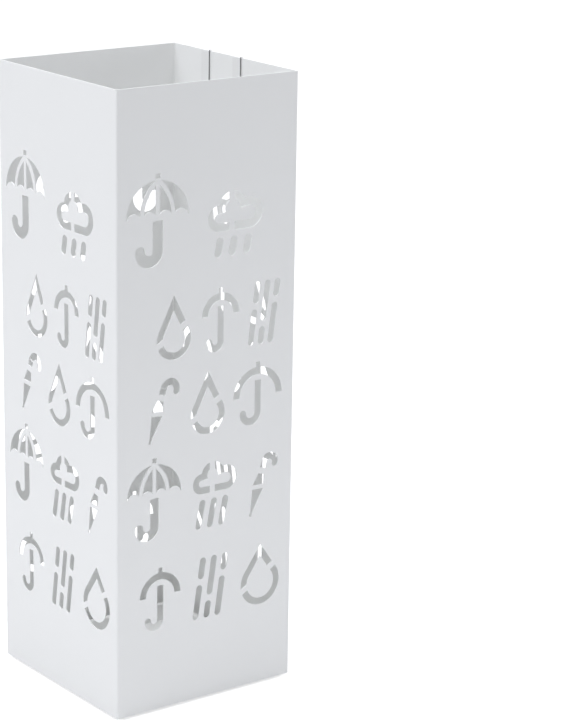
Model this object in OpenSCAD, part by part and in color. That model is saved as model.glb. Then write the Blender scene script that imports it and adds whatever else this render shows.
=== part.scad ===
// Square umbrella stand of folded and powder-coated sheet steel.
// Two L-shaped shells make the four walls, and a folded pan closes the base.
// Every wall carries the same stencil of umbrellas, clouds and raindrops.
// The origin is on the floor under the middle of the stand, with +Z up. Millimetres.

/* [Stand] */
// Outside width of each wall
stand_w = 160; // [158:1:180]
// Height of the rim above the floor
stand_h = 480; // [470:1:540]
// Thickness of the coated sheet
sheet_t = 0.8; // [0.6:0.1:1.0]
// Outside radius of a folded corner
bend_r = 2; // [1.6:0.1:3]
// Reach of the lap that joins one shell to the other
lap_w = 5.5; // [4.5:0.5:6]

/* [Stencil] */
// Height of the bottom row of cut-outs above the floor
stencil_z = 66; // [60:1:72]
// Width of the metal bridges left across a cut-out
bridge_w = 4.5; // [3.5:0.5:5]

/* [Base and tray] */
// Height of the pan's turned-up edges
pan_edge_h = 10; // [8:1:11]
// Outside width of the drip tray
tray_w = 140; // [120:1:142]
// Height of the drip tray
tray_h = 15; // [10:1:25]
// Width of the tray's flat lip
tray_lip = 3; // [2:0.5:5]
// Outside corner radius of the tray's lip
tray_corner_r = 12; // [8:1:20]

/* [Pads] */
// Thickness of a rubber pad
pad_t = 2; // [1.5:0.5:4]
// Diameter of a rubber pad
pad_d = 14; // [10:1:20]
// Distance of a pad's centre from the walls' outside faces
pad_inset = 14; // [12:1:24]

/* [Hooks] */
// Width of a hook's strip
hook_w = 10; // [8:0.5:14]
// Depth of a hook's bend below the rim
hook_drop = 42; // [30:1:60]
// Height of a hook's upturned tip
hook_tip_h = 9; // [6:1:15]
// Clear width inside a hook's bend
hook_throat = 5.2; // [4.5:0.1:5.5]
// Length of the leg outside the wall
hook_back_h = 14; // [8:1:25]

/* [Hidden] */

$fn = 64;
coat = [0.92, 0.92, 0.94];
rubber = [0.16, 0.16, 0.17];

half_w = stand_w / 2;
inner_half = half_w - sheet_t;
bend_in_r = bend_r - sheet_t;

// The laps and the pan nest inside the walls with a hair of play.
nest_play = 0.05;
nest_half = inner_half - nest_play;

// The lap stops short of the pan at the bottom and of the rim at the top.
lap_z0 = pad_t + pan_edge_h + 2;
lap_z1 = stand_h - 3;

// Spot-weld marks are shallow round dents.
weld_d = 4;
weld_deep = 0.2;
lap_weld_pitch = 88;
lap_weld_count = 6;

// Where the hooks sit along the right-hand wall, and their play on the rim.
hook_y = [-5, 36];
hook_play_in = 0.4;
hook_play_out = 0.2;

// Stencil rows from the bottom up.
// Each row is [height above the bottom row, icons], and each icon is
// [kind, distance of its centre from the wall's middle, width, height, stroke].
stencil_rows = [
    [0, [
        ["umbrella", -41.5, 37, 49.5, 5.6],
        ["rain", 4.5, 32.5, 49.5, 5.6],
        ["drop", 51.5, 36.5, 49.5, 5.6]
    ]],
    [72.5, [
        ["gored_umbrella", -47, 48.5, 64, 7.5],
        ["cloud", 8, 40.5, 52, 5.6],
        ["rolled_umbrella", 51.5, 26.5, 50, 5.6]
    ]],
    [147, [
        ["rolled_umbrella", -39, 31, 49, 5.6],
        ["drop", 1, 31, 49, 5.4],
        ["umbrella", 47, 45.5, 49, 5.8]
    ]],
    [209.5, [
        ["drop", -30, 30.5, 49, 5.4],
        ["umbrella", 12, 34, 49, 5.6],
        ["rain", 52, 29.5, 49, 5.4]
    ]],
    [281.5, [
        ["gored_umbrella", -44.5, 55, 69, 9],
        ["cloud", 24.5, 49.5, 49, 6.5]
    ]]
];

// ---------- stencil icons, each in a w by h box from its lower left corner ----------

// Bar with round ends from p to q.
module stroke(p, q, s) {
    along = q - p;
    translate(p) rotate(atan2(along[1], along[0])) {
        translate([0, -s / 2]) square([norm(along), s]);
        circle(d = s);
        translate([norm(along), 0]) circle(d = s);
    }
}

// Half of a ring of mid radius r: the upper half, or the lower half with side = -1.
module half_ring(r, s, side = 1) {
    reach = r + s;
    intersection() {
        difference() {
            circle(r = r + s / 2);
            circle(r = r - s / 2);
        }
        translate([-reach, side > 0 ? 0 : -reach]) square([2 * reach, reach]);
    }
}

// Walking-stick crook: a straight shaft from top_y down to y = r, turned up to the left.
module crook_shaft(top_y, r, s) {
    bend_y = r + s / 2;
    translate([-s / 2, bend_y]) square([s, top_y - bend_y]);
    translate([-r, bend_y]) half_ring(r, s, -1);
    translate([-2 * r, bend_y]) circle(d = s);
}

// Open umbrella in outline.
module umbrella(w, h, s) {
    ferrule = 4;
    canopy_r = w / 2;
    canopy_y = h - ferrule - canopy_r;
    translate([w / 2, 0]) {
        translate([0, canopy_y]) half_ring(canopy_r - s / 2, s);
        translate([-s / 3, h - ferrule - s / 2]) square([s * 2 / 3, ferrule + s / 2]);
        crook_shaft(h - ferrule - s - bridge_w, w * 0.15, s);
    }
}

// Open umbrella with its panels cut out and its ribs left standing.
module gored_umbrella(w, h, s) {
    ferrule = 5;
    canopy_r = w / 2;
    canopy_y = h - ferrule - canopy_r;
    panel_w = w / 4;
    rib_w = bridge_w * 0.7;
    // A side rib is an arc from the top of the canopy to a quarter of its width,
    // struck about a point level with the canopy's edge.
    rib_r = 1.25 * canopy_r;
    // The scallops are struck from just below the edge, so each point between them has a flat end.
    scallop_r = 0.45 * panel_w;
    scallop_y = -0.1 * panel_w;
    translate([w / 2, 0]) {
        translate([0, canopy_y]) difference() {
            intersection() {
                circle(r = canopy_r);
                translate([-canopy_r, 0]) square([w, canopy_r]);
            }
            for (x = [-1.5 : 1.5])
                translate([x * panel_w, scallop_y]) circle(r = scallop_r);
            for (side = [-1, 1])
                translate([side * (panel_w - rib_r), 0]) difference() {
                    circle(r = rib_r + rib_w / 2);
                    circle(r = rib_r - rib_w / 2);
                    translate([side > 0 ? -2 * rib_r : 0, -2 * rib_r]) square([2 * rib_r, 4 * rib_r]);
                }
            translate([-rib_w / 2, 0]) square([rib_w, canopy_r + 1]);
        }
        translate([-s / 4, h - ferrule + 1]) square([s / 2, ferrule - 1]);
        crook_shaft(canopy_y - bridge_w / 2, w * 0.14, s);
    }
}

// Rolled umbrella leaning on its tip, with its crook at the top and its strap as a bridge.
module rolled_umbrella(w, h, s) {
    lean = 17;
    crook_r = w * 0.19;
    crook_y = (h - s / 2 - crook_r * (1 - sin(lean))) / cos(lean);
    roll_top = crook_y * 0.78;
    roll_w = s * 1.9;
    translate([s / 2, 0]) rotate(-lean) {
        translate([crook_r, crook_y]) half_ring(crook_r, s);
        translate([2 * crook_r, crook_y]) circle(d = s);
        translate([-s / 2, roll_top + bridge_w]) square([s, crook_y - roll_top - bridge_w]);
        difference() {
            polygon([
                [-s / 5, 1], [-s / 5, roll_top * 0.14], [-roll_w / 2, roll_top * 0.72],
                [-s / 2, roll_top], [s / 2, roll_top],
                [roll_w / 2, roll_top * 0.72], [s / 5, roll_top * 0.14], [s / 5, 1]
            ]);
            stroke([-w, roll_top * 0.5], [w, roll_top * 0.9], bridge_w * 0.7);
        }
    }
}

// Filled raindrop: a round bottom of radius r about the origin and a point at tip above it.
// Its straight sides start just inside the circle, so they cross it cleanly.
module drop_shape(r, tip) {
    touch = acos(r / tip);
    start = 0.99 * r;
    circle(r = r);
    polygon([[-start * sin(touch), start * cos(touch)], [start * sin(touch), start * cos(touch)], [0, tip]]);
}

// Raindrop in outline, with a slanting bridge at each side.
module drop(w, h, s) {
    r = w / 2;
    tip = h - r;
    r_in = r - s;
    translate([r, r]) difference() {
        drop_shape(r, tip);
        drop_shape(r_in, tip * r_in / r);
        stroke([-w, -w * 0.45], [w, w * 0.75], bridge_w);
    }
}

// Slanting rain.
module rain(w, h, s) {
    streaks = 3;
    lean = w * 0.2;
    pitch = (w - s - lean) / (streaks - 1);
    split = [0.62, 0.3, 0.7];
    for (i = [0 : streaks - 1]) {
        low = [s / 2 + i * pitch, s / 2];
        high = low + [lean, h - s];
        mid = low + split[i] * (high - low);
        gap = (bridge_w + s) / 2 * (high - low) / norm(high - low);
        stroke(low, mid - gap, s);
        stroke(mid + gap, high, s);
    }
}

// Filled cloud, drawn back by inset from its outline.
module cloud_shape(w, inset) {
    puffs = [[0.2, 0.2, 0.2], [0.45, 0.34, 0.26], [0.76, 0.24, 0.24]];
    left = puffs[0] * w;
    right = puffs[2] * w;
    for (p = puffs * w)
        translate([p[0], p[1]]) circle(r = p[2] - inset);
    polygon([
        [left[0], inset], [right[0], inset],
        [right[0], right[1] + right[2] - inset], [left[0], left[1] + left[2] - inset]
    ]);
}

// Cloud in outline over three streaks of rain.
module cloud(w, h, s) {
    cloud_y = h - 0.6 * w;
    streak = cloud_y - bridge_w - s;
    lean = streak * 0.2;
    translate([0, cloud_y]) difference() {
        cloud_shape(w, 0);
        cloud_shape(w, s);
        stroke([w * 0.44, -w], [w * 0.44, w], bridge_w);
    }
    for (x = [0.22, 0.48, 0.74])
        stroke([x * w - lean, s / 2], [x * w, s / 2 + streak], s);
}

module icon(kind, w, h, s) {
    if (kind == "umbrella") umbrella(w, h, s);
    if (kind == "gored_umbrella") gored_umbrella(w, h, s);
    if (kind == "rolled_umbrella") rolled_umbrella(w, h, s);
    if (kind == "drop") drop(w, h, s);
    if (kind == "rain") rain(w, h, s);
    if (kind == "cloud") cloud(w, h, s);
}

// The whole stencil of one wall, in the plane of the wall.
module stencil() {
    for (row = stencil_rows)
        for (i = row[1])
            translate([i[1] - i[2] / 2, stencil_z + row[0]]) icon(i[0], i[2], i[3], i[4]);
}

// ---------- shells ----------

// Quarter of a bend, centred on the origin, in the quadrant that the signs name.
module bend_section(x_side, y_side) {
    intersection() {
        difference() {
            circle(r = bend_r);
            circle(r = bend_in_r);
        }
        translate([x_side > 0 ? 0 : -bend_r, y_side > 0 ? 0 : -bend_r]) square(bend_r);
    }
}

// A shell's front and left walls, which end this far from the middle, and the fold between them.
module wall_section(end) {
    fold = half_w - bend_r;
    translate([-fold, -half_w]) square([fold + end, sheet_t]);
    translate([-half_w, -fold]) square([sheet_t, fold + end]);
    translate([-fold, -fold]) bend_section(-1, -1);
}

// The laps: folded inwards at the end of each wall, to lie inside the other shell's walls.
module lap_section() {
    translate([bend_r - half_w, nest_half - bend_r]) bend_section(-1, 1);
    translate([bend_r - half_w, nest_half - sheet_t]) square([lap_w, sheet_t]);
    translate([nest_half - bend_r, bend_r - half_w]) bend_section(1, -1);
    translate([nest_half - sheet_t, bend_r - half_w]) square([sheet_t, lap_w]);
}

// Where there is no lap, the walls run straight on to the other shell.
module plain_end_section() {
    translate([-half_w, nest_half - bend_r]) square([sheet_t, bend_r]);
    translate([nest_half - bend_r, -half_w]) square([bend_r, sheet_t]);
}

// The two walls of a shell with the stencil cut through both.
module cut_walls(end) {
    through = sheet_t + 2;
    difference() {
        translate([0, 0, pad_t]) linear_extrude(stand_h - pad_t) wall_section(end);
        for (turn = [0, -90])
            rotate(turn)
                translate([0, through - half_w - 1, 0]) rotate([90, 0, 0])
                    linear_extrude(through) stencil();
    }
}

// The front shell's walls run right to the corners, so both seams face away from the front.
module front_shell() {
    color(coat) cut_walls(half_w);
}

module rear_shell() {
    lap_middle = bend_r + lap_w / 2 - half_w;
    color(coat) rotate(180) difference() {
        union() {
            cut_walls(nest_half - bend_r);
            translate([0, 0, lap_z0]) linear_extrude(lap_z1 - lap_z0) lap_section();
            translate([0, 0, pad_t]) linear_extrude(lap_z0 - pad_t) plain_end_section();
            translate([0, 0, lap_z1]) linear_extrude(stand_h - lap_z1) plain_end_section();
        }
        for (i = [0 : lap_weld_count - 1])
            translate([0, 0, lap_z0 + 12 + i * lap_weld_pitch]) {
                translate([lap_middle, nest_half - sheet_t + weld_deep, 0])
                    rotate([90, 0, 0]) cylinder(d = weld_d, h = 1);
                translate([nest_half - sheet_t + weld_deep - 1, lap_middle, 0])
                    rotate([0, 90, 0]) cylinder(d = weld_d, h = 1);
            }
    }
}

// ---------- base ----------

// Profile of one turned-up edge: x runs outwards, y runs up from the pan's underside.
module pan_edge_section() {
    translate([0, bend_r]) bend_section(1, -1);
    translate([bend_in_r, bend_r]) square([sheet_t, pan_edge_h - bend_r]);
}

module base_pan() {
    floor_half = nest_half - bend_r;
    relief_r = 3;
    edge_half = floor_half - relief_r;
    weld_x = floor_half * 0.6;
    color(coat) difference() {
        union() {
            translate([-floor_half, -floor_half, pad_t])
                cube([2 * floor_half, 2 * floor_half, sheet_t]);
            for (turn = [0 : 90 : 270])
                rotate(turn)
                    translate([floor_half, edge_half, pad_t]) rotate([90, 0, 0])
                        linear_extrude(2 * edge_half) pan_edge_section();
        }
        for (x = [-1, 1], y = [-1, 1])
            translate([x * floor_half, y * floor_half, pad_t - 1]) cylinder(r = relief_r, h = sheet_t + 2);
        for (turn = [0 : 90 : 270], y = [-weld_x, 0, weld_x])
            rotate(turn)
                translate([nest_half - sheet_t - 1 + weld_deep, y, pad_t + pan_edge_h - 4])
                    rotate([0, 90, 0]) cylinder(d = weld_d, h = 1);
    }
}

// ---------- drip tray ----------

// Square of half-width half with corners of radius r.
module rounded_square(half, r) {
    square([2 * half, 2 * (half - r)], center = true);
    square([2 * (half - r), 2 * half], center = true);
    for (x = [-1, 1], y = [-1, 1])
        translate([x * (half - r), y * (half - r)]) circle(r = r);
}

module drip_tray() {
    lip_half = tray_w / 2;
    wall_half = lip_half - tray_lip;
    wall_r = tray_corner_r - tray_lip;
    color(coat) translate([0, 0, pad_t + sheet_t]) difference() {
        union() {
            linear_extrude(tray_h) rounded_square(wall_half, wall_r);
            translate([0, 0, tray_h - sheet_t]) linear_extrude(sheet_t) rounded_square(lip_half, tray_corner_r);
        }
        translate([0, 0, sheet_t])
            linear_extrude(tray_h) rounded_square(wall_half - sheet_t, wall_r - sheet_t);
    }
}

// ---------- hooks ----------

// Profile of a hook: x is measured from the wall's outside face, inwards negative, y from the rim.
module hook_section() {
    leg_in = -sheet_t - hook_play_in;
    leg_out = hook_play_out;
    mid_r = (hook_throat + sheet_t) / 2;
    bend_y = mid_r + sheet_t / 2 - hook_drop;
    tip_x = leg_in - sheet_t / 2 - 2 * mid_r;
    // Over the rim
    translate([leg_in, 0]) square([leg_out - leg_in, sheet_t]);
    translate([leg_in, 0]) intersection() {
        circle(r = sheet_t);
        translate([-sheet_t, 0]) square(sheet_t);
    }
    translate([leg_out, 0]) intersection() {
        circle(r = sheet_t);
        square(sheet_t);
    }
    // Leg outside the wall
    translate([leg_out, -hook_back_h]) square([sheet_t, hook_back_h]);
    // Leg inside the wall, bend and tip
    translate([leg_in - sheet_t, bend_y]) square([sheet_t, -bend_y]);
    translate([leg_in - sheet_t / 2 - mid_r, bend_y]) half_ring(mid_r, sheet_t, -1);
    translate([tip_x - sheet_t / 2, bend_y]) square([sheet_t, hook_tip_h]);
}

module hook(y) {
    color(coat) translate([half_w, y + hook_w / 2, stand_h])
        rotate([90, 0, 0]) linear_extrude(hook_w) hook_section();
}

module hook_front() {
    hook(hook_y[0]);
}

module hook_rear() {
    hook(hook_y[1]);
}

// ---------- pads ----------

module pad(x_side, y_side) {
    reach = half_w - pad_inset;
    color(rubber) translate([x_side * reach, y_side * reach, 0]) cylinder(d = pad_d, h = pad_t);
}

module pad_front_left() {
    pad(-1, -1);
}

module pad_front_right() {
    pad(1, -1);
}

module pad_rear_right() {
    pad(1, 1);
}

module pad_rear_left() {
    pad(-1, 1);
}

front_shell();
rear_shell();
base_pan();
drip_tray();
hook_front();
hook_rear();
pad_front_left();
pad_front_right();
pad_rear_right();
pad_rear_left();
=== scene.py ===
# %% [markdown]
# # A folded sheet-steel umbrella stand
# The stand is four thin steel walls round an open well, a folded pan for a base, a loose drip
# tray, two strip hooks over the rim and four rubber pads. Everything but the rubber is sprayed
# with white powder and baked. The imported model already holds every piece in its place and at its
# size, so this lesson dresses that model: camera and light first, then finishes, then pieces.

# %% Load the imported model
import math

import bmesh
import bpy
from mathutils import Matrix, Vector


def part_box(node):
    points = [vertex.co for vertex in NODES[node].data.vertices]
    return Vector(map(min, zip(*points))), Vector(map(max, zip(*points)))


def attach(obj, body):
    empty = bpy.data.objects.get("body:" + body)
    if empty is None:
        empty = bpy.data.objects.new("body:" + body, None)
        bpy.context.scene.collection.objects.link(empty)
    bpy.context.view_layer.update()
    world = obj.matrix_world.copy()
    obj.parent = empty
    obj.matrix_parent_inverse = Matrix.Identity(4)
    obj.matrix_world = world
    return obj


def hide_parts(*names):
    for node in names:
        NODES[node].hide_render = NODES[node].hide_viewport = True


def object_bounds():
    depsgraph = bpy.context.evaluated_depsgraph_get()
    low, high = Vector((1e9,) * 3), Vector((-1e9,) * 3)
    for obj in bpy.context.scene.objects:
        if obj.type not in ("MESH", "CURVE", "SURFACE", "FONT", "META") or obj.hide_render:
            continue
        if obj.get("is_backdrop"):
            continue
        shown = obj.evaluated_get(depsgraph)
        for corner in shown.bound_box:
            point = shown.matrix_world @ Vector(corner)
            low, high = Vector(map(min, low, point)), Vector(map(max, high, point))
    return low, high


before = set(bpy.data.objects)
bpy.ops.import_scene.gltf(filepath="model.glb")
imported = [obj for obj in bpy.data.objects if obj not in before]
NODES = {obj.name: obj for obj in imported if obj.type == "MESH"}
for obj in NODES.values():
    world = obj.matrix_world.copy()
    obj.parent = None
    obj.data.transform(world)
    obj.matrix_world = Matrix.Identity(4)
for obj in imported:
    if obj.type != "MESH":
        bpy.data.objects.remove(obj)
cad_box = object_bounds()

MM = 0.001
SHEET = 0.8 * MM
print("pieces in the model:", ", ".join(sorted(NODES)))
print("overall box:", [round(v, 4) for corner in cad_box for v in corner])

# %% [markdown]
# ## Camera
# A tall narrow thing is best seen with a long lens from a little above and to one side, so both
# near walls and the inside of the rim show. A camera is easiest to think of as a direction and a
# distance from the point it looks at: azimuth 0 looks along +Y, elevation is how far it looks
# down, and roll tips the horizon. The lens stays long, so the upright edges hardly converge.

# %% Aim the camera
VIEW_AZIMUTH = -37.19
VIEW_ELEVATION = 15.70
VIEW_ROLL = 0.945
VIEW_DISTANCE = 2.0
LOOK_AT = Vector((0.1034, -0.0404, 0.2452))
LENS_MM = 128.2
SENSOR_MM = 36
CLIP_NEAR, CLIP_FAR = 0.01, 100


def aimed_camera(name, azimuth, elevation, roll, distance, target, lens):
    """A camera that looks at target from the given direction."""
    az, el, ro = (math.radians(v) for v in (azimuth, elevation, roll))
    forward = Vector((-math.sin(az) * math.cos(el), math.cos(az) * math.cos(el), -math.sin(el)))
    level = forward.cross(Vector((0, 0, 1))).normalized()
    upright = level.cross(forward)
    right = math.cos(ro) * level + math.sin(ro) * upright
    up = right.cross(forward)
    data = bpy.data.cameras.new(name)
    data.lens = lens
    data.sensor_width = SENSOR_MM
    data.clip_start = CLIP_NEAR
    data.clip_end = CLIP_FAR
    camera = bpy.data.objects.new(name, data)
    camera.matrix_world = Matrix.Translation(target - forward * distance) @ Matrix(
        (right, up, -forward)
    ).transposed().to_4x4()
    bpy.context.scene.collection.objects.link(camera)
    return camera


camera = aimed_camera(
    "studio_camera", VIEW_AZIMUTH, VIEW_ELEVATION, VIEW_ROLL, VIEW_DISTANCE, LOOK_AT, LENS_MM
)
bpy.context.scene.camera = camera
print("camera stands at", [round(v, 3) for v in camera.matrix_world.translation])

# %% [markdown]
# ## Studio
# White metal only shows its shape through small steps of grey, so the light has to be soft and
# uneven. A small box straight overhead shines down the open well, so the inside isn't a dark pit.
# A larger one to the upper left makes the left wall the brightest, and a weak screen on the right
# slips through the cut-outs. Two strips near the floor lift the foot of the near walls. The sky is
# paper white where it is seen or mirrored, and gives the walls a softer light than that. Whites
# have to stay white, so the view transform is the plain one.

# %% Floor and sky
FLOOR_HALF = 14.0
SKY_TINT = (0.945, 0.96, 1.0)
SKY_STRENGTH = 0.505
PAPER_WHITE = 1.15


def flat_floor(half):
    """A plain square floor at height 0."""
    mesh = bpy.data.meshes.new("studio_floor")
    corners = [(-half, -half, 0), (half, -half, 0), (half, half, 0), (-half, half, 0)]
    mesh.from_pydata(corners, [], [(0, 1, 2, 3)])
    floor = bpy.data.objects.new("studio_floor", mesh)
    bpy.context.scene.collection.objects.link(floor)
    floor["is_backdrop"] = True
    return floor


def studio_sky():
    """Even light from all round, with a paper-white backdrop where it is seen or mirrored."""
    world = bpy.data.worlds.new("studio_sky")
    world.use_nodes = True
    tree = world.node_tree
    glow = tree.nodes["Background"]
    glow.inputs["Color"].default_value = (*SKY_TINT, 1)
    glow.inputs["Strength"].default_value = SKY_STRENGTH
    paper = tree.nodes.new("ShaderNodeBackground")
    paper.inputs["Color"].default_value = (1, 1, 1, 1)
    paper.inputs["Strength"].default_value = PAPER_WHITE
    path = tree.nodes.new("ShaderNodeLightPath")
    under = glow.outputs[0]
    for ray in ("Is Camera Ray", "Is Glossy Ray"):
        swap = tree.nodes.new("ShaderNodeMixShader")
        tree.links.new(path.outputs[ray], swap.inputs["Fac"])
        tree.links.new(under, swap.inputs[1])
        tree.links.new(paper.outputs[0], swap.inputs[2])
        under = swap.outputs[0]
    tree.links.new(under, tree.nodes["World Output"].inputs["Surface"])
    bpy.context.scene.world = world


floor = flat_floor(FLOOR_HALF)
studio_sky()
print("floor is", 2 * FLOOR_HALF, "m across")

# %% Lights
LAMP_TINT = (0.945, 0.955, 1.0)
LIGHTS = (  # name, place, point it faces, size, watts
    ("overhead", (0, 0, 2.4), (0, 0, 0.2), (0.9, 0.9), 29),
    ("upper_left", (-1.8, 0.35, 2.2), (0, 0, 0.3), (1.6, 1.6), 25.5),
    ("right_screen", (2.4, -0.5, 0.6), (0, 0, 0.2), (1.8, 1.0), 16),
    ("foot_front", (0, -0.55, 0.04), (0, -0.08, 0.02), (0.4, 0.06), 0.14),
    ("foot_left", (-0.55, 0, 0.04), (-0.08, 0, 0.02), (0.4, 0.06), 0.1),
)


def soft_light(name, place, aim, size, watts):
    """A rectangular soft light of size (width, height) that faces aim and isn't seen itself."""
    data = bpy.data.lights.new(name, "AREA")
    data.shape = "RECTANGLE"
    data.size, data.size_y = size
    data.energy = watts
    data.color = LAMP_TINT
    light = bpy.data.objects.new(name, data)
    light.location = place
    light.rotation_euler = (Vector(aim) - Vector(place)).to_track_quat("-Z", "Y").to_euler()
    light.visible_camera = False
    bpy.context.scene.collection.objects.link(light)
    return light


for light_row in LIGHTS:
    soft_light(*light_row)

view = bpy.context.scene.view_settings
view.view_transform = "Standard"
view.look = "None"

# %% [markdown]
# ## Shared effects
# Powder coat looks plain from afar and isn't: it flows into a faint orange peel as it bakes, its
# thickness makes the white drift a little, and dust settles on whatever faces up. Each effect is
# a node group with named inputs, so every finish uses the same recipe with its own numbers.


# %% Helpers for node groups
def node_group(name, inputs, outputs):
    """An empty shader group with its sockets made, and its two end nodes."""
    group = bpy.data.node_groups.new(name, "ShaderNodeTree")
    for label, kind, value in inputs:
        socket = group.interface.new_socket(name=label, in_out="INPUT", socket_type=kind)
        socket.default_value = value
    for label, kind in outputs:
        group.interface.new_socket(name=label, in_out="OUTPUT", socket_type=kind)
    return group, group.nodes.new("NodeGroupInput"), group.nodes.new("NodeGroupOutput")


def add(tree, kind, **settings):
    """A new node with its settings made."""
    node = tree.nodes.new(kind)
    for key, value in settings.items():
        setattr(node, key, value)
    return node


def maths(tree, operation, a, b=None, c=None):
    """A Math node's output; each input is a number or a socket."""
    node = add(tree, "ShaderNodeMath", operation=operation)
    for socket, value in zip(node.inputs, (a, b, c)):
        if value is None:
            continue
        if isinstance(value, (int, float)):
            socket.default_value = value
        else:
            tree.links.new(value, socket)
    return node.outputs[0]


def held_to_one(tree, value):
    """The value kept between 0 and 1."""
    return maths(tree, "MINIMUM", maths(tree, "MAXIMUM", value, 0.0), 1.0)


def noise_at(tree, scale, detail, coordinates):
    """A noise texture over the object's own metres."""
    noise = add(tree, "ShaderNodeTexNoise")
    noise.inputs["Detail"].default_value = detail
    if isinstance(scale, (int, float)):
        noise.inputs["Scale"].default_value = scale
    else:
        tree.links.new(scale, noise.inputs["Scale"])
    tree.links.new(coordinates, noise.inputs["Vector"])
    return noise.outputs["Fac"]


# %% Orange peel
FLOAT = "NodeSocketFloat"
FINER = 3.5


def make_orange_peel():
    """Height of the baked powder's faint dimples: Grain is dimples per metre."""
    group, inn, out = node_group(
        "orange_peel",
        [("Grain", FLOAT, 700.0), ("Fine", FLOAT, 0.3)],
        [("Height", FLOAT)],
    )
    where = add(group, "ShaderNodeTexCoord").outputs["Object"]
    broad = noise_at(group, inn.outputs["Grain"], 2.0, where)
    fine = noise_at(group, maths(group, "MULTIPLY", inn.outputs["Grain"], FINER), 1.0, where)
    both = maths(group, "MULTIPLY_ADD", fine, inn.outputs["Fine"], broad)
    group.links.new(both, out.inputs["Height"])
    return group


ORANGE_PEEL = make_orange_peel()
print("shared effect:", ORANGE_PEEL.name)

# %% Drift of the white
COLOUR = "NodeSocketColor"
CLOUDS_PER_M = 9.0
SPECKS_PER_M = 260.0
SPECK_SHARE = 0.35


def make_coat_drift():
    """Colour and gloss of a sprayed coat, drifting slowly over the sheet."""
    group, inn, out = node_group(
        "coat_drift",
        [
            ("Colour", COLOUR, (0.86, 0.87, 0.89, 1)),
            ("Thin Colour", COLOUR, (0.8, 0.81, 0.82, 1)),
            ("Drift", FLOAT, 0.5),
            ("Gloss", FLOAT, 0.42),
            ("Gloss Drift", FLOAT, 0.08),
        ],
        [("Colour", COLOUR), ("Roughness", FLOAT)],
    )
    where = add(group, "ShaderNodeTexCoord").outputs["Object"]
    clouds = noise_at(group, CLOUDS_PER_M, 3.0, where)
    specks = noise_at(group, SPECKS_PER_M, 2.0, where)
    cloudy = maths(group, "MULTIPLY", clouds, 1 - SPECK_SHARE)
    mixed = maths(group, "MULTIPLY_ADD", specks, SPECK_SHARE, cloudy)
    share = maths(group, "MULTIPLY", mixed, inn.outputs["Drift"])
    blend = add(group, "ShaderNodeMix", data_type="RGBA")
    group.links.new(share, blend.inputs["Factor"])
    group.links.new(inn.outputs["Colour"], blend.inputs["A"])
    group.links.new(inn.outputs["Thin Colour"], blend.inputs["B"])
    group.links.new(blend.outputs["Result"], out.inputs["Colour"])
    off_middle = maths(group, "SUBTRACT", mixed, 0.5)
    swing = maths(group, "MULTIPLY", off_middle, inn.outputs["Gloss Drift"])
    group.links.new(maths(group, "ADD", inn.outputs["Gloss"], swing), out.inputs["Roughness"])
    return group


COAT_DRIFT = make_coat_drift()
print("shared effect:", COAT_DRIFT.name)

# %% Settled dust
UPWARD_FOCUS = 3.0


def make_settled_dust():
    """Mask of the dust that lies on faces that look up."""
    group, inn, out = node_group(
        "settled_dust", [("Amount", FLOAT, 0.3), ("Grain", FLOAT, 500.0)], [("Mask", FLOAT)]
    )
    surface = add(group, "ShaderNodeNewGeometry")
    parts = add(group, "ShaderNodeSeparateXYZ")
    group.links.new(surface.outputs["Normal"], parts.inputs[0])
    upward = maths(group, "POWER", maths(group, "MAXIMUM", parts.outputs["Z"], 0.0), UPWARD_FOCUS)
    where = add(group, "ShaderNodeTexCoord").outputs["Object"]
    patchy = noise_at(group, inn.outputs["Grain"], 4.0, where)
    mask = maths(group, "MULTIPLY", maths(group, "MULTIPLY", upward, patchy), inn.outputs["Amount"])
    group.links.new(mask, out.inputs["Mask"])
    return group


SETTLED_DUST = make_settled_dust()
print("shared effect:", SETTLED_DUST.name)

# %% Scuffs
PATCHES_PER_M = 45.0
PATCH_SHARE = 0.7
SCUFF_START = 1.03
SCUFF_SHARPNESS = 12.0


def make_scuffs():
    """Mask of the small grey ticks that umbrella tips leave: Length stretches them along X."""
    group, inn, out = node_group(
        "scuffs",
        [("Amount", FLOAT, 0.3), ("Size", FLOAT, 420.0), ("Length", FLOAT, 3.0)],
        [("Mask", FLOAT)],
    )
    where = add(group, "ShaderNodeTexCoord").outputs["Object"]
    parts = add(group, "ShaderNodeSeparateXYZ")
    group.links.new(where, parts.inputs[0])
    drawn_out = add(group, "ShaderNodeCombineXYZ")
    drawn_x = maths(group, "DIVIDE", parts.outputs["X"], inn.outputs["Length"])
    group.links.new(drawn_x, drawn_out.inputs["X"])
    group.links.new(parts.outputs["Y"], drawn_out.inputs["Y"])
    group.links.new(parts.outputs["Z"], drawn_out.inputs["Z"])
    ticks = noise_at(group, inn.outputs["Size"], 4.0, drawn_out.outputs[0])
    patches = noise_at(group, PATCHES_PER_M, 2.0, where)
    both = maths(group, "MULTIPLY_ADD", patches, PATCH_SHARE, ticks)
    ragged = maths(group, "MULTIPLY", maths(group, "SUBTRACT", both, SCUFF_START), SCUFF_SHARPNESS)
    rubbed = held_to_one(group, ragged)
    group.links.new(maths(group, "MULTIPLY", rubbed, inn.outputs["Amount"]), out.inputs["Mask"])
    return group


SCUFFS = make_scuffs()
print("shared effect:", SCUFFS.name)

# %% Cut edges with painted gap shade
SIDE_START = 0.35
SIDE_SHARPNESS = 3.0
BREAK_UP_PER_M = 900.0


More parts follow.
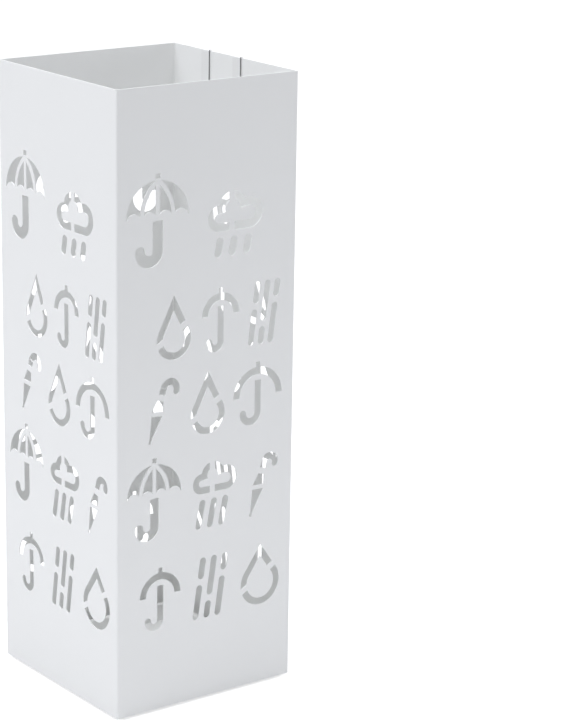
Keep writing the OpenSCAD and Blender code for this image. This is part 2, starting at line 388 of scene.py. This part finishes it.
def make_cut_edge_and_gap_shade():
    """Mask of a strip's two cut sides, which look along Y, inside the X limit: bare edge plus painted
    shade of the gap by the wall.
    """
    group, inn, out = node_group(
        "cut_edge_and_gap_shade",
        [("Amount", FLOAT, 1.0), ("Outer X", FLOAT, 0.079), ("Break-up", FLOAT, 0.2)],
        [("Mask", FLOAT)],
    )
    surface = add(group, "ShaderNodeNewGeometry")
    facing = add(group, "ShaderNodeSeparateXYZ")
    group.links.new(surface.outputs["True Normal"], facing.inputs[0])
    steep = maths(group, "SUBTRACT", maths(group, "ABSOLUTE", facing.outputs["Y"]), SIDE_START)
    side = held_to_one(group, maths(group, "MULTIPLY", steep, SIDE_SHARPNESS))
    where = add(group, "ShaderNodeTexCoord").outputs["Object"]
    place = add(group, "ShaderNodeSeparateXYZ")
    group.links.new(where, place.inputs[0])
    # painted shade: the dark is kept inside the wall, where the strip stands over the shadowed gap
    # between strip and wall
    inside = maths(group, "LESS_THAN", place.outputs["X"], inn.outputs["Outer X"])
    patchy = noise_at(group, BREAK_UP_PER_M, 3.0, where)
    broken_up = maths(group, "SUBTRACT", 1.0, maths(group, "MULTIPLY", patchy, inn.outputs["Break-up"]))
    bare_and_shaded = maths(group, "MULTIPLY", maths(group, "MULTIPLY", side, inside), broken_up)
    group.links.new(maths(group, "MULTIPLY", bare_and_shaded, inn.outputs["Amount"]), out.inputs["Mask"])
    return group


CUT_EDGE_AND_GAP_SHADE = make_cut_edge_and_gap_shade()
print("shared effect:", CUT_EDGE_AND_GAP_SHADE.name)

# %% [markdown]
# ## Finishes
# Powder coat is a plastic skin over steel: no metal shows, so it is a Principled shader with no
# metallic, a satin roughness and a very shallow bump from the orange peel. A layer is a mask and
# a colour, and each finish stacks the layers that its piece has earned: dust where it faces up,
# scuffs where umbrella tips rub, and dark grey on the cut sides of the strips inside the wall,
# which is partly bare cut edge and partly painted shade of the narrow gap between strip and wall.


# %% Layers over a base colour
DUST_COLOUR = (0.6, 0.59, 0.56, 1)
SCUFF_COLOUR = (0.5, 0.5, 0.51, 1)
# dark grey of the hooks' cut sides inside the wall: partly bare steel edge, partly painted shade of
# the gap between strip and wall
CUT_EDGE_AND_SHADE_COLOUR = (0.13, 0.13, 0.14, 1)


def place_group(tree, group, **values):
    """A group node with its own input values."""
    node = add(tree, "ShaderNodeGroup", node_tree=group)
    for label, value in values.items():
        node.inputs[label.replace("_", " ")].default_value = value
    return node


def layer(tree, under, mask, colour):
    """The colour laid over what is under it, where the mask says."""
    mix = add(tree, "ShaderNodeMix", data_type="RGBA")
    tree.links.new(mask, mix.inputs["Factor"])
    tree.links.new(under, mix.inputs["A"])
    mix.inputs["B"].default_value = colour
    return mix.outputs["Result"]


def add_bump(tree, shader, height, strength, depth):
    """Feed a height into the shader's normal."""
    bump = add(tree, "ShaderNodeBump")
    bump.inputs["Strength"].default_value = strength
    bump.inputs["Distance"].default_value = depth
    tree.links.new(height, bump.inputs["Height"])
    tree.links.new(bump.outputs["Normal"], shader.inputs["Normal"])


# %% Powder coat
COAT_WHITE = (0.92, 0.925, 0.912, 1)
COAT_THIN = (0.895, 0.9, 0.89, 1)
STRIP_WHITE = (0.86, 0.86, 0.85, 1)
PEEL_STRENGTH = 0.35
PEEL_DEEP = 0.03 * MM


def powder_coat(name, gloss, dust, white=COAT_WHITE, scuffs=0.0, cut_edge_shade=0.0):
    """White baked powder on sheet steel, with the layers this piece has earned."""
    material = bpy.data.materials.new(name)
    material.use_nodes = True
    tree = material.node_tree
    shader = tree.nodes["Principled BSDF"]
    drift = place_group(tree, COAT_DRIFT, Colour=white, Thin_Colour=COAT_THIN, Gloss=gloss)
    colour = drift.outputs["Colour"]
    if scuffs:
        rubbed = place_group(tree, SCUFFS, Amount=scuffs)
        colour = layer(tree, colour, rubbed.outputs["Mask"], SCUFF_COLOUR)
    # painted shade: the hooks' cut sides inside the wall are darkened for the gap between strip and
    # wall as well as the bare edge
    if cut_edge_shade:
        edge = place_group(tree, CUT_EDGE_AND_GAP_SHADE, Amount=cut_edge_shade)
        colour = layer(tree, colour, edge.outputs["Mask"], CUT_EDGE_AND_SHADE_COLOUR)
    settled = place_group(tree, SETTLED_DUST, Amount=dust)
    colour = layer(tree, colour, settled.outputs["Mask"], DUST_COLOUR)
    tree.links.new(colour, shader.inputs["Base Color"])
    tree.links.new(drift.outputs["Roughness"], shader.inputs["Roughness"])
    peel = place_group(tree, ORANGE_PEEL)
    add_bump(tree, shader, peel.outputs["Height"], PEEL_STRENGTH, PEEL_DEEP)
    return material


SHELL_COAT = powder_coat("shell_coat_white", gloss=0.42, dust=0.1)
BASE_COAT = powder_coat("base_coat_white", gloss=0.45, dust=0.3, scuffs=0.1)
TRAY_COAT = powder_coat("tray_coat_white", gloss=0.38, dust=0.25, scuffs=0.25)
# the hooks' dark cut sides are partly painted shade of the gap by the wall
HOOK_COAT = powder_coat("hook_coat_white", gloss=0.4, dust=0.1, white=STRIP_WHITE, cut_edge_shade=1.0)
print("coats:", [m.name for m in (SHELL_COAT, BASE_COAT, TRAY_COAT, HOOK_COAT)])


# %% Rubber
RUBBER_BLACK = (0.03, 0.03, 0.032, 1)
RUBBER_FADED = (0.06, 0.06, 0.062, 1)
FLOOR_GRIME = (0.2, 0.195, 0.185, 1)
MOULD_STRENGTH = 0.5
MOULD_DEEP = 0.05 * MM


def moulded_rubber(name):
    """Matt black rubber, greyed by floor dust, with a fine moulded grain."""
    material = bpy.data.materials.new(name)
    material.use_nodes = True
    tree = material.node_tree
    shader = tree.nodes["Principled BSDF"]
    drift = place_group(
        tree, COAT_DRIFT, Colour=RUBBER_BLACK, Thin_Colour=RUBBER_FADED,
        Drift=0.9, Gloss=0.72, Gloss_Drift=0.2,
    )
    rubbed = place_group(tree, SCUFFS, Amount=0.35, Size=300.0, Length=1.0)
    colour = layer(tree, drift.outputs["Colour"], rubbed.outputs["Mask"], FLOOR_GRIME)
    tree.links.new(colour, shader.inputs["Base Color"])
    tree.links.new(drift.outputs["Roughness"], shader.inputs["Roughness"])
    grain = place_group(tree, ORANGE_PEEL, Grain=2600.0, Fine=0.5)
    add_bump(tree, shader, grain.outputs["Height"], MOULD_STRENGTH, MOULD_DEEP)
    return material


PAD_RUBBER = moulded_rubber("pad_rubber_black")
print("rubber:", PAD_RUBBER.name)

# %% Floor finish
FLOOR_WHITE = 0.7
FLOOR_LIFT = 0.62
FLOOR_ROUGHNESS = 0.9


def floor_finish():
    """A pale floor that glows for the camera only, so it reads as paper white but the light that
    it throws back on the walls stays soft."""
    material = bpy.data.materials.new("studio_floor_white")
    material.use_nodes = True
    tree = material.node_tree
    shader = tree.nodes["Principled BSDF"]
    shader.inputs["Base Color"].default_value = (FLOOR_WHITE, FLOOR_WHITE, FLOOR_WHITE, 1)
    shader.inputs["Roughness"].default_value = FLOOR_ROUGHNESS
    shader.inputs["Emission Color"].default_value = (FLOOR_LIFT, FLOOR_LIFT, FLOOR_LIFT, 1)
    path = add(tree, "ShaderNodeLightPath")
    tree.links.new(path.outputs["Is Camera Ray"], shader.inputs["Emission Strength"])
    return material


floor.data.materials.append(floor_finish())
print("floor finish is on")

# %% [markdown]
# ## Sheet parts
# The two L-shaped shells and the base pan are exact already: laser-cut, folded, spot-welded. What
# a cut sheet gains in the paint shop is soft edges, because the powder creeps round every corner
# as it melts. The edges could be cut again by hand, but a bevel held to sharp corners only does
# the same to all of them at once. First the split seams of the mesh are joined, and last the
# shading normals are weighted by area, so the flat walls stay flat.

# %% Soften the coated edges
COAT_EDGE = 0.16 * MM
SEAM_GAP = 0.002 * MM
EDGE_SEGMENTS = 2
SHARP_ANGLE = math.radians(35)


def finish_sheet(node, material):
    """Coated edges and a finish for a sheet part whose shape is right already."""
    weld = node.modifiers.new("join_seams", "WELD")
    weld.merge_threshold = SEAM_GAP
    bevel = node.modifiers.new("coat_edge", "BEVEL")
    bevel.width = COAT_EDGE
    bevel.segments = EDGE_SEGMENTS
    bevel.limit_method = "ANGLE"
    bevel.angle_limit = SHARP_ANGLE
    bevel.loop_slide = False
    shading = node.modifiers.new("flat_walls", "WEIGHTED_NORMAL")
    shading.keep_sharp = False
    shading.weight = 100
    node.data.materials.clear()
    node.data.materials.append(material)
    print(node.name, "has", len(node.data.polygons), "faces before its edges are softened")


finish_sheet(NODES["front_shell"], SHELL_COAT)
finish_sheet(NODES["rear_shell"], SHELL_COAT)
finish_sheet(NODES["base_pan"], BASE_COAT)

# %% [markdown]
# ## Ways of making the small parts
# The tray, hooks and pads are pressed, bent and moulded, and their softness is in their shape, so
# each is made again from rings of points. A ring is one closed line of points, and a skin is
# stretched from ring to ring. A pressed tray is rounded squares stacked from its underside round
# to its inside, a bent strip is one small section carried along its bends, and a pad is circles.


# %% Skin from rings
def skin_rings(name, rings, material, body):
    """A closed piece through rings of equal count; its first and last ring are capped."""
    mesh = bmesh.new()
    rows = [[mesh.verts.new(point) for point in ring] for ring in rings]
    count = len(rows[0])
    for low, high in zip(rows, rows[1:]):
        for i in range(count):
            j = (i + 1) % count
            mesh.faces.new((low[i], low[j], high[j], high[i]))
    mesh.faces.new(list(reversed(rows[0])))
    mesh.faces.new(rows[-1])
    bmesh.ops.recalc_face_normals(mesh, faces=mesh.faces)
    for face in mesh.faces:
        face.smooth = True
    data = bpy.data.meshes.new(name)
    mesh.to_mesh(data)
    mesh.free()
    data.materials.append(material)
    piece = bpy.data.objects.new(name, data)
    bpy.context.scene.collection.objects.link(piece)
    shading = piece.modifiers.new("flat_faces", "WEIGHTED_NORMAL")
    shading.weight = 80
    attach(piece, body)
    print(name, "has", len(data.polygons), "faces")
    return piece


def arc_points(centre, radius, start, end, steps):
    """Points (a, b) round an arc, from the start angle to the end angle in degrees."""
    turns = (math.radians(start + (end - start) * k / steps) for k in range(steps + 1))
    return [(centre[0] + radius * math.cos(a), centre[1] + radius * math.sin(a)) for a in turns]


# %% [markdown]
# ## Drip tray
# The tray is one pressed sheet with a rolled-over flat lip. Two shallow swages, ridges pressed
# into the floor, stop it drumming and keep umbrella tips from skating. Its profile runs from the
# middle of the underside, out and up round the lip, and back in over the floor; each point of the
# profile becomes one rounded square.

# %% Tray sizes
TRAY_LOW, TRAY_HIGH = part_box("drip_tray")
LIP_HALF = TRAY_HIGH.x
LIP_WIDTH = 3 * MM
WALL_HALF = LIP_HALF - LIP_WIDTH
LIP_CORNER = 12 * MM
PRESS_BEND = 1.0 * MM
LIP_EDGE = 0.3 * MM
SWAGES = ((50 * MM, 5 * MM, 0.9 * MM), (24 * MM, 4 * MM, 0.7 * MM))
SWAGE_STEPS = 6
FLOOR_START = 2 * MM
FLOOR_MARGIN = 4 * MM
TIGHTEST_CORNER = 0.14
CORNER_STEPS = 12
BEND_STEPS = 6
LIP_STEPS = 5
EDGE_STEPS = 3
print("tray size in mm:", [round(v / MM, 1) for v in TRAY_HIGH - TRAY_LOW])


# %% Tray profile
def swage_rise(half):
    """How far the floor is pressed up at this distance from the middle."""
    rise = 0.0
    for middle, width, height in SWAGES:
        off = abs(half - middle) / (width / 2)
        if off < 1:
            rise += height * (1 + math.cos(math.pi * off)) / 2
    return rise


def floor_run(level):
    """The floor from the middle outwards at one level, with its swages."""
    halves = {FLOOR_START, WALL_HALF - FLOOR_MARGIN}
    for middle, width, _ in SWAGES:
        steps = range(-SWAGE_STEPS, SWAGE_STEPS + 1)
        halves.update(middle + width * k / (2 * SWAGE_STEPS) for k in steps)
    return [(half, level + swage_rise(half)) for half in sorted(halves)]


def tray_profile():
    """(half-width, height) from the middle of the underside round to the middle of the floor."""
    low, top = TRAY_LOW.z, TRAY_HIGH.z
    inner = WALL_HALF - SHEET
    outer_bend, fillet = PRESS_BEND + SHEET, PRESS_BEND
    points = floor_run(low)
    points += arc_points((WALL_HALF - outer_bend, low + outer_bend), outer_bend, -90, 0, BEND_STEPS)
    points += arc_points((WALL_HALF + LIP_EDGE, top - SHEET - LIP_EDGE), LIP_EDGE, 180, 90, EDGE_STEPS)
    points += arc_points((LIP_HALF - LIP_EDGE, top - SHEET + LIP_EDGE), LIP_EDGE, -90, 0, EDGE_STEPS)
    points += arc_points((LIP_HALF - LIP_EDGE, top - LIP_EDGE), LIP_EDGE, 0, 90, EDGE_STEPS)
    points += arc_points((inner + fillet, top - fillet), fillet, 90, 180, LIP_STEPS)
    points += arc_points((inner - fillet, low + SHEET + fillet), fillet, 0, -90, BEND_STEPS)
    points += reversed(floor_run(low + SHEET))
    return points


print("tray profile has", len(tray_profile()), "points")


# %% Press the tray
def rounded_square_ring(half, z):
    """A square ring of this half-width; its corners follow the lip's, and tighten inwards."""
    corner = max(LIP_CORNER + half - LIP_HALF, TIGHTEST_CORNER * half)
    middle = half - corner
    ring = []
    for turn, (sx, sy) in enumerate(((1, 1), (-1, 1), (-1, -1), (1, -1))):
        at = (sx * middle, sy * middle)
        arc = arc_points(at, corner, 90 * turn, 90 * (turn + 1), CORNER_STEPS)
        ring += [(x, y, z) for x, y in arc]
    return ring


tray_rings = [rounded_square_ring(half, z) for half, z in tray_profile()]
tray = skin_rings("drip_tray_pressed", tray_rings, TRAY_COAT, "tray")
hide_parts("drip_tray")

# %% [markdown]
# ## Hooks
# Each hook is a sheared strip bent three times: down outside the wall, over the rim, and down the
# inside to a round bend with an upturned tip. A curve with a bevel would twist at the tight
# folds, so the strip's section is carried along its middle line by hand. The ends are rounded in
# the strip's own plane by narrowing the last few sections.

# %% Hook sizes
HOOK_END_R = 2.0 * MM
RIM_BEND = 0.6 * MM
HOOK_TIP = 9 * MM
HOOK_BACK = 14 * MM
HOOK_PLAY = 0.4 * MM
EDGE_R = 0.14 * MM
END_STEPS = 10
FOLD_STEPS = 6
LEG_STEPS = 6
THROAT_STEPS = 20
WALL_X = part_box("rear_shell")[1].x
print("wall outside face at", round(WALL_X / MM, 2), "mm")


# %% Middle line of a hook
def straight(start, end, marks):
    """Stations on a straight run, at these distances from its start: (point, heading)."""
    run = Vector(end) - Vector(start)
    heading = run.normalized()
    return [(Vector(start) + heading * mark, heading) for mark in marks]


def bend(centre, radius, start, end, steps):
    """Stations round a bend, without its first and last points."""
    side = 1 if end > start else -1
    stations = []
    for k in range(1, steps):
        a = math.radians(start + (end - start) * k / steps)
        out = Vector((math.cos(a), math.sin(a)))
        stations.append((Vector(centre) + radius * out, Vector((-out.y, out.x)) * side))
    return stations


def end_marks(length):
    """Distances that close in on a strip's rounded end."""
    turns = (math.radians(90 / END_STEPS * k) for k in range(1, END_STEPS + 1))
    return [HOOK_END_R * (1 - math.cos(a)) for a in turns] + [length]


def hook_line(low, high):
    """Stations in the X-Z plane from the end outside the wall to the tip inside."""
    rim = high.z - SHEET
    outer_x = high.x - SHEET / 2
    inner_x = WALL_X - SHEET - HOOK_PLAY - SHEET / 2
    tip_x = low.x + SHEET / 2
    top = rim + SHEET / 2
    mid_r = (inner_x - tip_x) / 2
    bend_z = low.z + SHEET / 2 + mid_r
    back_end = (outer_x, rim - HOOK_BACK)
    tip_end = (tip_x, bend_z + HOOK_TIP)
    back_run = top - RIM_BEND - back_end[1]
    line = straight(back_end, (outer_x, top), [0.0] + end_marks(back_run))
    line += bend((outer_x - RIM_BEND, top - RIM_BEND), RIM_BEND, 0, 90, FOLD_STEPS)
    over_rim = outer_x - inner_x - 2 * RIM_BEND
    line += straight((outer_x - RIM_BEND, top), (inner_x, top), [0.0, over_rim])
    line += bend((inner_x + RIM_BEND, top - RIM_BEND), RIM_BEND, 90, 180, FOLD_STEPS)
    leg = top - RIM_BEND - bend_z
    leg_marks = [leg * k / LEG_STEPS for k in range(LEG_STEPS + 1)]
    line += straight((inner_x, top - RIM_BEND), (inner_x, bend_z), leg_marks)
    line += bend((inner_x - mid_r, bend_z), mid_r, 0, -180, THROAT_STEPS)
    tip_marks = [HOOK_TIP - mark for mark in reversed([0.0] + end_marks(HOOK_TIP))]
    line += straight((tip_x, bend_z), tip_end, tip_marks)
    return line


print("stations along a hook:", len(hook_line(*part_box("hook_front"))))

# %% Section of the strip
def strip_section(half_width, half_thick):
    """Rounded rectangle (across, through), anticlockwise from its lower right corner."""
    ring = []
    radius = min(EDGE_R, half_thick * 0.9)
    a, b = half_width - radius, half_thick - radius
    for turn, (sa, sb) in enumerate(((1, -1), (1, 1), (-1, 1), (-1, -1))):
        ring += arc_points((sa * a, sb * b), radius, 90 * (turn - 1), 90 * turn, 3)
    return ring


def strip_rings(line, middle_y, width):
    """The section carried along the line, narrowed to round off both ends."""
    lengths = [0.0]
    for (p, _), (q, _) in zip(line, line[1:]):
        lengths.append(lengths[-1] + (q - p).length)
    rings = []
    for (point, heading), along in zip(line, lengths):
        to_end = min(along, lengths[-1] - along)
        short = max(HOOK_END_R - to_end, 0.0)
        half_width = width / 2 - HOOK_END_R + math.sqrt(HOOK_END_R**2 - short**2)
        half_thick = SHEET / 2 - max(EDGE_R - to_end, 0.0)
        out = Vector((-heading.y, heading.x))
        ring = []
        for across, through in strip_section(half_width, half_thick):
            at = point + out * through
            ring.append((at.x, middle_y + across, at.y))
        rings.append(ring)
    return rings


# %% Bend the hooks
for hook_name, hook_body in (("hook_front", "front_hook"), ("hook_rear", "rear_hook")):
    low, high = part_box(hook_name)
    hook_rings = strip_rings(hook_line(low, high), (low.y + high.y) / 2, high.y - low.y)
    strip = skin_rings(hook_name + "_strip", hook_rings, HOOK_COAT, hook_body)
    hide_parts(hook_name)

# %% [markdown]
# ## Pads
# A moulded rubber pad has a rounded rim, a slightly hollow underside and rings that grip the
# floor. It is turned like a bowl: a profile of radius and height, swept round its own middle.

# %% Pad profile
GRIP_RINGS = 3
GRIP_DEEP = 0.25 * MM
GRIP_MARGIN = 2 * MM
FIRST_GRIP = 1.2 * MM
GRIP_PROFILE = ((0.0, 1.0), (0.15, 0.2), (0.3, 0.0), (0.6, 0.0), (0.75, 0.2), (0.9, 1.0))
PAD_MIDDLE = 0.6 * MM
PAD_ROUND = 0.5 * MM
ROUND_STEPS = 5
PAD_STEPS = 48


def pad_profile(radius, height):
    """(radius, height) from the middle of the underside, round the rim, to the middle of the top."""
    points = [(PAD_MIDDLE, 2 * GRIP_DEEP)]
    pitch = (radius - GRIP_MARGIN) / GRIP_RINGS
    for ring in range(GRIP_RINGS):
        start = FIRST_GRIP + ring * pitch
        for share, level in GRIP_PROFILE:
            points.append((start + share * pitch, level * GRIP_DEEP))
    points += arc_points((radius - PAD_ROUND, PAD_ROUND), PAD_ROUND, -90, 0, ROUND_STEPS)
    points += arc_points((radius - PAD_ROUND, height - PAD_ROUND), PAD_ROUND, 0, 90, ROUND_STEPS)
    points.append((PAD_MIDDLE, height))
    return points


# %% Mould the pads
for pad_name in ("pad_front_left", "pad_front_right", "pad_rear_right", "pad_rear_left"):
    low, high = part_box(pad_name)
    middle = (low + high) / 2
    turns = [2 * math.pi * k / PAD_STEPS for k in range(PAD_STEPS)]
    pad_rings = [
        [(middle.x + r * math.cos(a), middle.y + r * math.sin(a), z) for a in turns]
        for r, z in pad_profile((high.x - low.x) / 2, high.z)
    ]
    pad = skin_rings(pad_name + "_moulded", pad_rings, PAD_RUBBER, "stand")
    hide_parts(pad_name)

# %% [markdown]
# ## Check the size
# Dressing the model mustn't make it bigger. The box that was kept at the start is set beside the
# box of what is shown now, and the growth in millimetres is printed.

# %% Measure and finish
looks_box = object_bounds()
growth = [(b - a) / MM for c, d in zip(cad_box, looks_box) for a, b in zip(c, d)]
print("growth in mm:", [round(v, 3) for v in growth])
